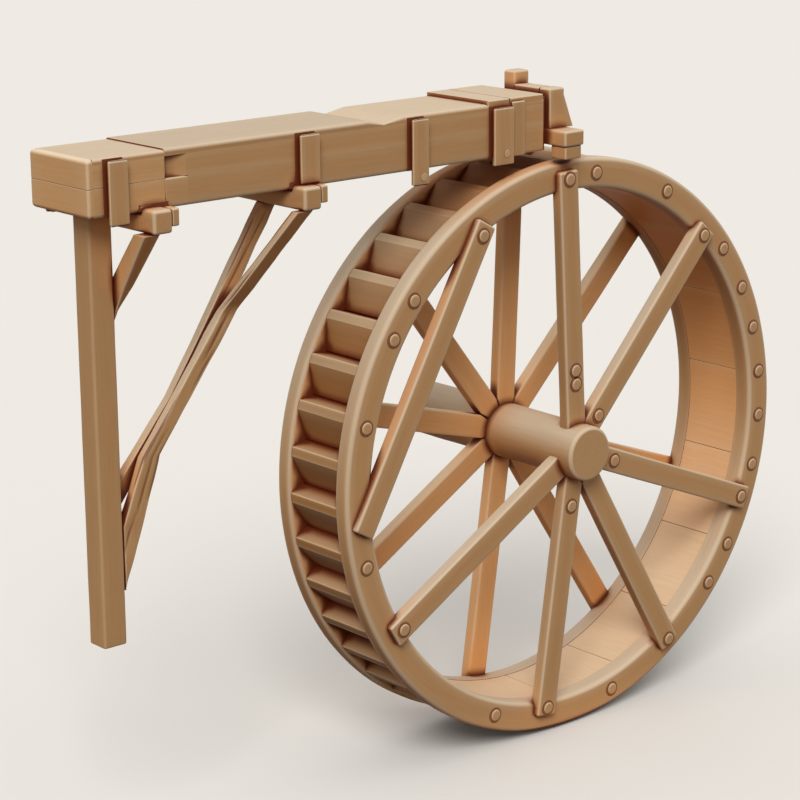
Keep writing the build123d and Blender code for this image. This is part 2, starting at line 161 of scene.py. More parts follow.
@dataclass(frozen=True)
class PlanedLarch:
    """Larch timber, planed by hand and left to stand outdoors.

    To the eye: a matt, slightly chalky tan, with painted light and shade by facing: paler facing up, warmer
    brown on the sides and darker orange facing down. Arrises carry a painted highlight, recesses a painted
    warm shade, and corners where timbers meet a dark red-brown painted shade.
    """

    name: str
    # Painted light and shade by facing: paler facing up, warmer on the sides, darker facing down
    sunned: str = "#D2BB9E"
    side: str = "#B88C5E"
    underside: str = "#864B1E"
    # A painted highlight on arrises, then painted shade in recesses and in corners
    rubbed: str = "#DCC6A8"
    warm_shade: str = "#E4A56C"
    joint_stain: str = "#662208"
    ring_width: float = 16.0
    fibre_width: float = 3.5
    fibre_depth: float = 2.0
    fibre_relief: float = 0.18
    grain_stretch: float = 20.0
    ring_contrast: float = 0.06
    rub_share: float = 0.6
    shade_reach: float = 520.0
    shade_openness: Point = (0.88, 0.45)
    shade_most: float = 0.85
    stain_reach: float = 92.0
    stain_openness: Point = (0.88, 0.56)
    stain_most: float = 0.97
    roughness: float = 0.62

    def material(self) -> bpy.types.Material:
        """Build the node material.

        Returns:
            The material, which reads the grain, arris, tone and stain attributes of a cut timber; the last is
            painted shade.
        """
        made = bpy.data.materials.new(self.name)
        tree = empty_tree(made)
        # The last attribute carries painted shade: dark strips, rings and crack lines drawn on the pieces
        grain, arris, tone, pitch = (
            add_node(tree, "ShaderNodeAttribute", {"attribute_name": label})
            for label in ("grain", "arris", "tone", "stain")
        )

        # Growth rings and fibres, drawn about five times as wide as real ones so that they show at this size
        stretched = add_node(
            tree, "ShaderNodeMapping", {"Scale": (1 / self.grain_stretch, 1.0, 1.0)},
            {"Vector": grain.outputs["Vector"]},
        )
        rings = add_node(
            tree, "ShaderNodeTexNoise",
            {"Scale": 1 / (self.ring_width * MM), "Detail": 3.0, "Roughness": 0.55, "Distortion": 0.4},
            {"Vector": stretched.outputs["Vector"]},
        )
        fibres = add_node(
            tree, "ShaderNodeTexNoise",
            {"Scale": 1 / (self.fibre_width * MM), "Detail": 2.0, "Roughness": 0.6},
            {"Vector": stretched.outputs["Vector"]},
        )

        # Painted light and shade by which way the face looks when the wheel stands as built: paler facing up,
        # darker facing down
        surface = add_node(tree, "ShaderNodeTexCoord")
        facing = add_node(tree, "ShaderNodeSeparateXYZ", links={"Vector": surface.outputs["Normal"]})
        painted_light_by_facing = add_node(tree, "ShaderNodeMapRange", {"From Min": -1.0}, {"Value": facing.outputs["Z"]})
        colour = add_node(tree, "ShaderNodeValToRGB", links={"Fac": painted_light_by_facing.outputs["Result"]})
        painted_light_stops = ((0.08, self.underside), (0.5, self.side), (0.86, self.sunned))
        fill_ramp(colour, [(position, linear(shade)) for position, shade in painted_light_stops])

        low, high = 1.0 - self.ring_contrast, 1.0 + self.ring_contrast / 3
        ring_shade = add_node(
            tree, "ShaderNodeMapRange", {"From Min": 0.3, "From Max": 0.7, "To Min": low, "To Max": high},
            {"Value": rings.outputs["Fac"]},
        )
        board_shade = add_node(
            tree, "ShaderNodeMath", {"operation": "MULTIPLY"},
            {0: ring_shade.outputs["Result"], 1: tone.outputs["Fac"]},
        )
        grained = add_node(
            tree, "ShaderNodeMix", {"data_type": "RGBA", "blend_type": "MULTIPLY", 0: 1.0},
            {6: colour.outputs["Color"], 7: board_shade.outputs["Value"]},
        )
        # Arrises painted pale: a painted highlight along the rounded edges
        rub = add_node(
            tree, "ShaderNodeMath", {"operation": "MULTIPLY", 1: self.rub_share}, {0: arris.outputs["Fac"]}
        )

        # Painted warm shade: orange-brown where nearby timbers keep out light, found by occlusion
        shade_occlusion = add_node(
            tree, "ShaderNodeAmbientOcclusion", {"samples": 8, "Distance": self.shade_reach * MM}
        )
        open_at, closed_at = self.shade_openness
        painted_shade_share = add_node(
            tree, "ShaderNodeMapRange",
            {"From Min": open_at, "From Max": closed_at, "To Max": self.shade_most},
            {"Value": shade_occlusion.outputs["AO"]},
        )

        # Painted shade: dark red-brown in the corners where timbers meet, found by occlusion, or where a piece
        # carries painted shade
        corner = add_node(
            tree, "ShaderNodeAmbientOcclusion", {"samples": 8, "Distance": self.stain_reach * MM}
        )
        open_at, closed_at = self.stain_openness
        smooth = {"interpolation_type": "SMOOTHSTEP"}
        painted_corner_shade = add_node(
            tree, "ShaderNodeMapRange",
            {**smooth, "From Min": open_at, "From Max": closed_at, "To Max": self.stain_most},
            {"Value": corner.outputs["AO"]},
        )
        darkened = add_node(
            tree, "ShaderNodeMath", {"operation": "MAXIMUM"},
            {0: painted_corner_shade.outputs["Result"], 1: pitch.outputs["Fac"]},
        )
        layered = grained.outputs[2]
        for shade, share in (
            (self.rubbed, rub.outputs["Value"]),
            (self.warm_shade, painted_shade_share.outputs["Result"]),
            (self.joint_stain, darkened.outputs["Value"]),
        ):
            layer = add_node(
                tree, "ShaderNodeMix", {"data_type": "RGBA", 7: linear(shade)}, {0: share, 6: layered}
            )
            layered = layer.outputs[2]

        plane_marks = add_node(
            tree, "ShaderNodeBump", {"Strength": self.fibre_relief, "Distance": self.fibre_depth * MM},
            {"Height": fibres.outputs["Fac"]},
        )
        # Open pores swallow about half of what a sealed surface of this index would reflect
        shader = add_node(
            tree, "ShaderNodeBsdfPrincipled",
            {"Roughness": self.roughness, "IOR": 1.45, "Specular IOR Level": 0.25},
            {"Base Color": layered, "Normal": plane_marks.outputs["Normal"]},
        )
        add_node(tree, "ShaderNodeOutputMaterial", links={"Surface": shader.outputs["BSDF"]})
        return made


@dataclass(frozen=True)
class WettedLarch(PlanedLarch):
    """A darker copy of the larch for the buckets: painted shade, darker all over, darkest where it faces down.
    """

    name: str = "wetted_larch_buckets"
    sunned: str = "#C9AC88"
    side: str = "#A87544"
    underside: str = "#52301A"
    rubbed: str = "#DDBE96"
    warm_shade: str = "#9C5E28"


@dataclass(frozen=True)
class LarchHeartwood(PlanedLarch):
    """A lighter, more orange copy of the larch for the parts in the wheel's own shade: painted light."""

    name: str = "unbleached_larch_heartwood"
    sunned: str = "#EBCBA5"
    side: str = "#E6AA70"
    underside: str = "#B8702F"
    rubbed: str = "#F0CDA2"
    warm_shade: str = "#E09A58"


def rays_that_show(tree: bpy.types.NodeTree) -> bpy.types.NodeSocket:
    """Tell the rays that show the studio from those that light the object.

    Args:
        tree: The node tree of a material or world.

    Returns:
        A socket that is 1 for camera, glossy and transmission rays and 0 for the rest.
    """
    path = add_node(tree, "ShaderNodeLightPath")
    shown = path.outputs["Is Camera Ray"]
    for kind in ("Is Glossy Ray", "Is Transmission Ray"):
        either = add_node(tree, "ShaderNodeMath", {"operation": "MAXIMUM"}, {0: shown, 1: path.outputs[kind]})
        shown = either.outputs["Value"]
    return shown


@dataclass(frozen=True)
class StudioFloor:
    """Painted board: matt and pale, seen at its own colour while it throws back little light."""

    name: str = "matt_painted_board"
    seen: str = "#E9E5DE"
    throws: str = "#5F564C"

    def material(self) -> bpy.types.Material:
        """Build the node material.

        Returns:
            The material, pale to the camera and in reflections.
        """
        made = bpy.data.materials.new(self.name)
        tree = empty_tree(made)
        colour = add_node(
            tree, "ShaderNodeMix", {"data_type": "RGBA", 6: linear(self.throws), 7: linear(self.seen)},
            {0: rays_that_show(tree)},
        )
        shader = add_node(tree, "ShaderNodeBsdfDiffuse", links={"Color": colour.outputs[2]})
        add_node(tree, "ShaderNodeOutputMaterial", links={"Surface": shader.outputs["BSDF"]})
        return made


@dataclass(frozen=True)
class EdgePoint:
    """One point of a section's outline: its place, its outward direction, and how much of an arris it is."""

    place: Vector
    out: Vector
    share: float


@dataclass(frozen=True)
class Cut:
    """One cross-section: where it lies along the grain, and place and arris radius of its corners.

    The corners stand in order against the clock. An arris is at most so wide that the arcs at both ends of a
    flat leave some of it, and where an end is rounded it keeps some of its radius.
    """

    along: float
    corners: tuple[tuple[float, float, float], ...]
    widest: float = 0.45
    kept: float = 0.4
    arc_shares: Arris = (0.2, 1.0, 1.0, 0.2)

    def outline(self, shrink: float, per_side: int) -> list[EdgePoint]:
        """Walk round the section with its corners rounded.

        Args:
            shrink: How far the section is drawn in all round, for the rounding of an end.
            per_side: Points on each flat between two arrises.

        Returns:
            The points of the outline, first the arc of the first corner.
        """
        count = len(self.corners)
        spots = [Vector(corner[:2]) for corner in self.corners]
        lengths = [(spots[(i + 1) % count] - spots[i]).length for i in range(count)]
        normals = []
        for i in range(count):
            edge = (spots[(i + 1) % count] - spots[i]) / lengths[i]
            normals.append(Vector((edge.y, -edge.x)))
        arcs: list[list[EdgePoint]] = []
        for i, spot in enumerate(spots):
            before, after, wanted = normals[i - 1], normals[i], self.corners[i][2]
            opening = before.angle(after)
            widest = self.widest * (min(lengths[i - 1], lengths[i]) - 2 * shrink) / math.tan(opening / 2)
            radius = min(max(wanted - shrink, self.kept * wanted), widest)
            hub = spot - (before + after) / (1 + before.dot(after)) * (shrink + radius)
            start = math.atan2(before.y, before.x)
            arc = []
            for step, share in enumerate(self.arc_shares):
                turn = start + opening * step / (len(self.arc_shares) - 1)
                out = Vector((math.cos(turn), math.sin(turn)))
                arc.append(EdgePoint(hub + out * radius, out, share))
            arcs.append(arc)
        points = []
        for i, arc in enumerate(arcs):
            points.extend(arc)
            following = arcs[(i + 1) % count][0]
            for step in range(1, per_side + 1):
                spot = arc[-1].place.lerp(following.place, step / (per_side + 1))
                points.append(EdgePoint(spot, following.out, 0.0))
        return points


def squared(along: float, low: Point, high: Point, arris: float | Arris) -> Cut:
    """Make a squared cross-section.

    Args:
        along: Where it lies along the grain.
        low: Its lower corner.
        high: Its higher corner.
        arris: The radius of all four arrises, or of each from the (+, +) corner on.

    Returns:
        The cross-section.
    """
    radii = arris if isinstance(arris, tuple) else (arris,) * 4
    places = ((high[0], high[1]), (low[0], high[1]), (low[0], low[1]), (high[0], low[1]))
    return Cut(along, tuple((*place, radius) for place, radius in zip(places, radii)))


def quarter_round(radius: float) -> list[Point]:
    """How far an edge of this radius falls back on its one face and on its other, in five steps."""
    turns = [math.radians(angle) for angle in (0, 22, 45, 68, 90)]
    return [(radius * (1 - math.cos(turn)), radius * (1 - math.sin(turn))) for turn in turns]


def spread(rows: Rows, step: float) -> list[tuple[float, ...]]:
    """Add even rows between the given ones.

    Args:
        rows: Rows that start with their height and are straight from one to the next.
        step: The largest height between two rows.

    Returns:
        The rows with the added ones between them.
    """
    full = []
    for first, second in zip(rows, rows[1:]):
        count = max(1, math.ceil((second[0] - first[0]) / step))
        full.extend(tuple(a + (b - a) * part / count for a, b in zip(first, second)) for part in range(count))
    return [*full, tuple(rows[-1])]


def straight(origin: Vector, along: Vector, across: Vector) -> Place:
    """Place a timber's own frame in the part's frame.

    Args:
        origin: The point where along, across and up are zero.
        along: The direction of the grain.
        across: The direction of the section's first axis.

    Returns:
        A function from along, across and up to a point, all in millimetres.
    """
    up = along.cross(across)
    return lambda x, y, z: origin + along * x + across * y + up * z


def crosswise(place: Place) -> Place:
    """The same frame with its first two axes swapped, for a board whose grain runs across it."""
    return lambda x, y, z: place(y, x, z)


def bent(bend_radius: float, start: float) -> Place:
    """Place a piece that runs round the wheel.

    Args:
        bend_radius: The radius on which lengths along the piece are true.
        start: The angle at which the piece starts.

    Returns:
        A function from along the rim, towards the rear and away from the centre to a point.
    """

    def place(x: float, y: float, z: float) -> Vector:
        """One point of the ring."""
        turn, out = math.radians(start) + x / bend_radius, bend_radius + z
        return WHEEL_CENTRE + Vector((out * math.cos(turn), y, out * math.sin(turn)))

    return place


def from_centre(angle: float, radius: float = 1.0, y: float = 0.0) -> Vector:
    """The way from the wheel's centre to a point, by its angle from +X towards +Z, its radius and its Y."""
    turn = math.radians(angle)
    return Vector((radius * math.cos(turn), y, radius * math.sin(turn)))


# A timber along each axis; the section's axes are the next two in the order X, Y, Z, X, Y
ALONG_X = straight(Vector((0, 0, 0)), X_AXIS, Y_AXIS)
ALONG_Y = straight(Vector((0, 0, 0)), Y_AXIS, Z_AXIS)
ALONG_Z = straight(Vector((0, 0, 0)), Z_AXIS, X_AXIS)


@dataclass(frozen=True)
class SurfacePoint:
    """One point of a cut surface, in metres, and what its material reads there."""

    place: Vector
    grain: Vector
    arris: float
    tone: float
    stain: float


@dataclass
class CutTimber:
    """The surfaces of one piece while its timbers are cut.

    Hewing is how deep the tool's hollows go and hewing_span how far apart they lie. Cracks and rub run from 0
    to 1: how far open the drying cracks are, which are also painted dark as shade in the crease, and how
    strongly the arrises are painted pale as a highlight.
    """

    name: str
    hewing: float = 1.5
    hewing_span: float = 260.0
    cracks: float = 0.0
    rub: float = 1.0
    crack_depth: float = 6.0
    crack_length: float = 380.0
    crack_gap: float = 30.0
    crack_edge: float = 6.0
    crack_rarity: float = 1.9
    points: list[SurfacePoint] = field(default_factory=list)
    faces: list[tuple[int, ...]] = field(default_factory=list)
    face_grain: list[Vector] = field(default_factory=list)
    boards: int = 0

    def _draw(self, tone: float, darkest: float, palest: float = 1.03) -> tuple[Vector, float]:
        """Draw the next board from its log, the same on each run.

        Args:
            tone: How light it is beside its neighbours.
            darkest: The darkest that chance makes it, of a tone of 1.
            palest: The palest that chance makes it.

        Returns:
            The place of its grain in the log, and its tone.
        """
        self.boards += 1
        source = random.Random(f"{self.name} {self.boards}")
        shift = Vector((source.uniform(0, 40), source.uniform(0, 9), source.uniform(0, 9)))
        return shift, tone * source.uniform(darkest, palest)

    def _add_face(self, corners: Sequence[int], wrap: float = 0.0) -> None:
        """Add a face and the grain at each of its corners.

        Args:
            corners: The numbers of its points, in order round it.
            wrap: How far the grain has run on at all but the first two corners.
        """
        self.faces.append(tuple(corners))
        for count, corner in enumerate(corners):
            self.face_grain.append(self.points[corner].grain + X_AXIS * (wrap if count > 1 else 0.0))

    def _skin(self, rings: list[list[int]], wrap: float = 0.0) -> None:
        """Lay faces between rings of points.

        Args:
            rings: The numbers of each ring's points.
            wrap: How far the grain runs once round a closed piece, or 0 for a piece with two ends.
        """
        pairs = [(first, second, 0.0) for first, second in zip(rings, rings[1:])]
        if wrap:
            pairs.append((rings[-1], rings[0], wrap))
        for first, second, run in pairs:
            for i, corner in enumerate(first):
                j = (i + 1) % len(first)
                self._add_face((corner, first[j], second[j], second[i]), run)
        if not wrap:
            self._add_face(rings[0][::-1])
            self._add_face(rings[-1])

    @staticmethod
    def _stations(cuts: Sequence[Cut], ends: Point) -> list[tuple[Cut, float, float, float | None]]:
        """Round the two ends of a timber.

        Args:
            cuts: The cross-sections, from one end to the other.
            ends: The rounding of the two ends.

        Returns:
            For each station its cross-section, place and shrink, and how much of an arris all of it is, or
            None where that goes edge by edge.
        """
        near, far = ends
        first, last = cuts[0], cuts[-1]
        rounding = [
            (1 - math.cos(turn), 1 - math.sin(turn), share)
            for turn, share in ((0.0, 0.0), (math.pi / 6, 1.0), (math.pi / 3, 1.0))
        ]
        return [
            *((first, first.along + near * back, near * inset, share) for back, inset, share in rounding),
            (first, first.along + near, 0.0, None),
            *((cut, cut.along, 0.0, None) for cut in cuts[1:-1]),
            (last, last.along - far, 0.0, None),
            *((last, last.along - far * back, far * inset, share) for back, inset, share in rounding[::-1]),
        ]

    def sweep(
        self,
        cuts: Sequence[Cut],
        place: Place,
        ends: Point | None = None,
        per_side: int = 2,
        tone: float = 1.0,
        grain_axis: int = 0,
        stain: float = 0.0,
    ) -> None:
        """Cut one timber through its cross-sections.

        Args:
            cuts: The cross-sections, from one end to the other.
            place: Where the timber's own frame lies in the part.
            ends: The rounding of the two ends, or None where the last section joins the first, as in a ring.
            per_side: Points on each flat between two arrises.
            tone: How light the timber is beside its neighbours.
            grain_axis: The axis that the grain follows: 0 along, 1 and 2 the section's own.
            stain: How far the timber is darkened as painted shade.
        """
        shift, board_tone = self._draw(tone, darkest=0.965)
        stations = self._stations(cuts, ends) if ends else [(cut, cut.along, 0.0, None) for cut in cuts]
        rings: list[list[int]] = []
        for cut, along, shrink, end_share in stations:
            outline = cut.outline(shrink, per_side)
            rings.append([len(self.points) + i for i in range(len(outline))])
            for edge in outline:
                swell = noise.noise(place(along, *edge.place) / self.hewing_span + shift)
                # Cracks are cut in and also painted dark: painted shade in the crease
                aside = (edge.place - outline[0].place) / self.crack_gap
                streak = noise.noise(Vector((along / self.crack_length, *aside)) + shift)
                crack = self.cracks * min(1.0, max(0.0, streak * self.crack_edge - self.crack_rarity))
                hewn = edge.place - edge.out * (self.hewing * (0.5 + 0.5 * swell) + self.crack_depth * crack)
                own = (along, *edge.place)
                self.points.append(
                    SurfacePoint(
                        place(along, *hewn) * MM,
                        Vector(own[grain_axis:] + own[:grain_axis]) * MM + shift,
                        self.rub * (edge.share if end_share is None else end_share),
                        board_tone,
                        max(stain, crack),
                    )
                )
        step = (cuts[-1].along - cuts[0].along) / (len(cuts) - 1)
        self._skin(rings, 0.0 if ends else (cuts[-1].along - cuts[0].along + step) * MM)

    def board(
        self,
        reach: Point,
        low: Point,
        high: Point,
        arris: float | Arris,
        place: Place,
        ends: Point,
        step: float = 90.0,
        **looks: float,
    ) -> None:
        """Cut one straight timber of the same section all along.

        Args:
            reach: Where it starts and ends along the grain.
            low: The section's lower corner.
            high: The section's higher corner.
            arris: The radius of all four arrises, or of each from the (+, +) corner on.
            place: Where the timber's own frame lies in the part.
            ends: The rounding of the two ends.
            step: About how far apart its cross-sections lie.
            looks: What sweep takes besides.
        """
        start, end = reach
        last = max(2, round((end - start) / step) + 1) - 1
        cuts = [squared(start + (end - start) * i / last, low, high, arris) for i in range(last + 1)]
        self.sweep(cuts, place, ends, **looks)

    def lathe(
        self, profile: Sequence[tuple[float, float, float]], place: Place, around: int, stain: float = 0.0
    ) -> None:
        """Turn one round piece.

        Args:
            profile: Along, radius and how much of an arris each point is, from one end to the other.
            place: Where the piece's own frame lies in the part, with its axis along.
            around: Points round the piece.
            stain: How far the piece is darkened as painted shade.
        """
        shift, board_tone = self._draw(1.0, darkest=0.97)
        rings: list[list[int]] = []
        for along, radius, share in profile:
            rings.append([len(self.points) + i for i in range(around)])
            for i in range(around):
                turn = 2 * math.pi * i / around
                y, z = radius * math.cos(turn), radius * math.sin(turn)
                swell = noise.noise(place(along, y, z) / self.hewing_span + shift)
                slim = max(radius - self.hewing * (0.5 + 0.5 * swell), 0.5) / radius
                hewn, grain = place(along, y * slim, z * slim) * MM, Vector((along, y, z)) * MM + shift
                self.points.append(SurfacePoint(hewn, grain, share, board_tone, stain))
        self._skin(rings)

    def finish(self, finish: bpy.types.Material) -> bpy.types.Object:
        """Turn what was cut into a Blender object.

        Args:
            finish: The material of the whole piece.

        Returns:
            The object, linked to the scene, with flats that stay flat and arrises that shade round.
        """
        mesh = bpy.data.meshes.new(self.name)
        mesh.from_pydata([tuple(point.place) for point in self.points], [], self.faces)
        grain = mesh.attributes.new("grain", "FLOAT_VECTOR", "CORNER")
        grain.data.foreach_set("vector", [value for vector in self.face_grain for value in vector])
        for label in ("arris", "tone", "stain"):
            layer = mesh.attributes.new(label, "FLOAT", "POINT")
            layer.data.foreach_set("value", [getattr(point, label) for point in self.points])
        mesh.polygons.foreach_set("use_smooth", [True] * len(mesh.polygons))
        work = bmesh.new()
        work.from_mesh(mesh)
        bmesh.ops.recalc_face_normals(work, faces=work.faces)
        work.to_mesh(mesh)
        work.free()
        mesh.materials.append(finish)
        piece = bpy.data.objects.new(self.name, mesh)
        bpy.context.scene.collection.objects.link(piece)
        flats = piece.modifiers.new("flats", "WEIGHTED_NORMAL")
        flats.mode = "FACE_AREA"
        flats.weight = 100
        return piece


@dataclass
class SubAssembly:
    """What every sub-assembly shares: the finish that it is dressed in and the body that it rides."""

    finish: bpy.types.Material
    slot: str
    body: Body

    def dress(self, cut: CutTimber, *nodes: str) -> None:
        """Finish a cut piece, hang it on the frame and report it.

        Args:
            cut: The piece's surfaces.
            nodes: The CAD nodes that it stands for.
        """
        piece = cut.finish(self.finish)
        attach(piece, self.body.value)
        if nodes:
            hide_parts(*nodes)
        LOG.info("%s: %d faces, stands for %s", cut.name, len(cut.faces), ", ".join(nodes) or "nothing")


@dataclass
class PostAndStruts(SubAssembly):
    """The square post, its knee and the two long rakers under the middle bearer.

    Rows of the knee: height, front, back and right. Rows of a raker: height, left, right and middle Y.
    """

    post_size: float = 170.0
    post_height: float = 2690.0
    post_arris: float = 20.0
    knee_left: float = 85.0
    knee_arris: float = 13.0
    # The knee is painted lighter to offset the shade that falls on it
    knee_tone: float = 1.3
    knee_rows: Rows = (
        (2010, -62, 60, 96), (2077, -84, 60, 112), (2137, -120, 58, 130), (2237, -181, -20, 160),
        (2567, -405, -285, 205),
    )
    raker_thickness: float = 78.0
    raker_arris: float = 16.0
    front_raker: Rows = (
        (340, 85, 97, -44), (741, 85, 247, -44), (1138, 250, 386, -44), (1950, 863, 999, -44),
        (2567, 1204, 1340, -374),
    )
    rear_raker: Rows = ((780, 85, 97, 44), (951, 85, 221, 44), (1458, 520, 656, 44), (2567, 1254, 1390, 44))

    def post(self) -> None:
        """The post, planed square with worn arrises."""
        half = self.post_size / 2
        cut = CutTimber("post_timber", hewing=3.0, rub=0.3)
        cut.board((0, self.post_height), (-half, -half), (half, half), self.post_arris, ALONG_Z, (10.0, 3.0))
        self.dress(cut, "post")

    def knee(self) -> None:
        """The knee brace, a grown crook that leans out to the front end of the left bearer."""
        cuts = [
            squared(z, (self.knee_left, front), (right, back), self.knee_arris)
            for z, front, back, right in spread(self.knee_rows, 60)
        ]
        cut = CutTimber("knee_timber", hewing=4.0, hewing_span=150)
        cut.sweep(cuts, ALONG_Z, (8.0, 2.0), tone=self.knee_tone)
        self.dress(cut, "knee_brace")

    def rakers(self) -> None:
        """The two rakers, hewn from crooked logs that cracked as they dried."""
        half = self.raker_thickness / 2
        for name, rows in (("front_raker", self.front_raker), ("rear_raker", self.rear_raker)):
            cuts = [
                squared(z, (left, middle - half), (right, middle + half), self.raker_arris)
                for z, left, right, middle in spread(rows, 45)
            ]
            cut = CutTimber(f"{name}_timber", hewing=12.0, hewing_span=170, cracks=0.75)
            cut.sweep(cuts, ALONG_Z, (2.0, 2.0), per_side=7)
            self.dress(cut, name)


@dataclass
class Bearers(SubAssembly):
    """The two bearers under the launder, with the packing blocks spiked to the right of their raised ends.

    A thin dark strip, painted shade, lies on the launder at each raised end: wet_inside is how far short of
    the end its two faces lie, wet_drop and wet_rise how far it goes down and up from the bearer's top,
    wet_left and wet_right how far it runs past the bearer and its block.
    """

    places: tuple[tuple[str, float], ...] = (("left_bearer", 212.0), ("middle_bearer", 1322.0))
    width: float = 140.0
    underside: float = 2567.0
    top: float = 2715.0
    half_length: float = 425.0
    launder_underside: float = 2690.0
    half_launder: float = 303.0
    housed_overlap: float = 20.0
    housed_arris: float = 2.0
    arris: float = 22.0
    inner_arris: float = 8.0
    block_thickness: float = 52.0
    block_inner: float = 325.0
    block_outer: float = 420.0
    block_low: float = 2603.0
    block_overlap: float = 6.0
    block_arris: float = 13.0
    wet: float = 0.9
    wet_inside: Point = (7.0, 1.0)
    wet_drop: float = 22.0
    wet_rise: float = 20.0
    wet_left: float = 16.0
    wet_right: float = 4.0

    def bearers(self) -> None:
        """Each bearer: the housed length, its two raised ends, and the thin dark strips of painted shade above
        them.
        """
        half_housed, tight = self.half_launder + self.housed_overlap, self.housed_arris
        shade_strip_low, shade_strip_high = self.top - self.wet_drop, self.top + self.wet_rise
        for name, x in self.places:
            left, right = x - self.width / 2, x + self.width / 2
            cut = CutTimber(f"{name}_timber", hewing=3.0, hewing_span=180)
            cut.board(
                (-half_housed, half_housed), (self.underside, left), (self.launder_underside, right),
                (tight, tight, self.arris, self.arris), ALONG_Y, (tight, tight),
            )
            for side in Side:
                ends = (self.arris, self.inner_arris)
                cut.board(
                    side.span(self.half_launder, self.half_length), (self.underside, left), (self.top, right),
                    self.arris, ALONG_Y, ends if side is Side.FRONT else ends[::-1], 45,
                )
            # A thin dark strip on the launder side over each raised end: painted shade where the bearer meets
            # it
            for side in Side:
                low_y, high_y = side.span(*(self.half_launder - inside for inside in self.wet_inside))
                cut.board(
                    (left - self.wet_left, right + self.block_thickness + self.wet_right), (low_y, shade_strip_low),
                    (high_y, shade_strip_high), 1.0, ALONG_X, (1.0, 1.0), 60, stain=self.wet,
                )
            self.dress(cut, name)

    def blocks(self) -> None:
        """The four packing blocks."""
        cut = CutTimber("bearer_block_timber", hewing=3.0, hewing_span=120)
        for _, x in self.places:
            face = x + self.width / 2
            left, right = face - self.block_overlap, face + self.block_thickness
            for side in Side:
                cut.board(
                    side.span(self.block_inner, self.block_outer), (self.block_low, left), (self.top, right),
                    self.block_arris, ALONG_Y, (self.block_arris, self.block_arris), 50,
                )
        self.dress(cut, "bearer_blocks")


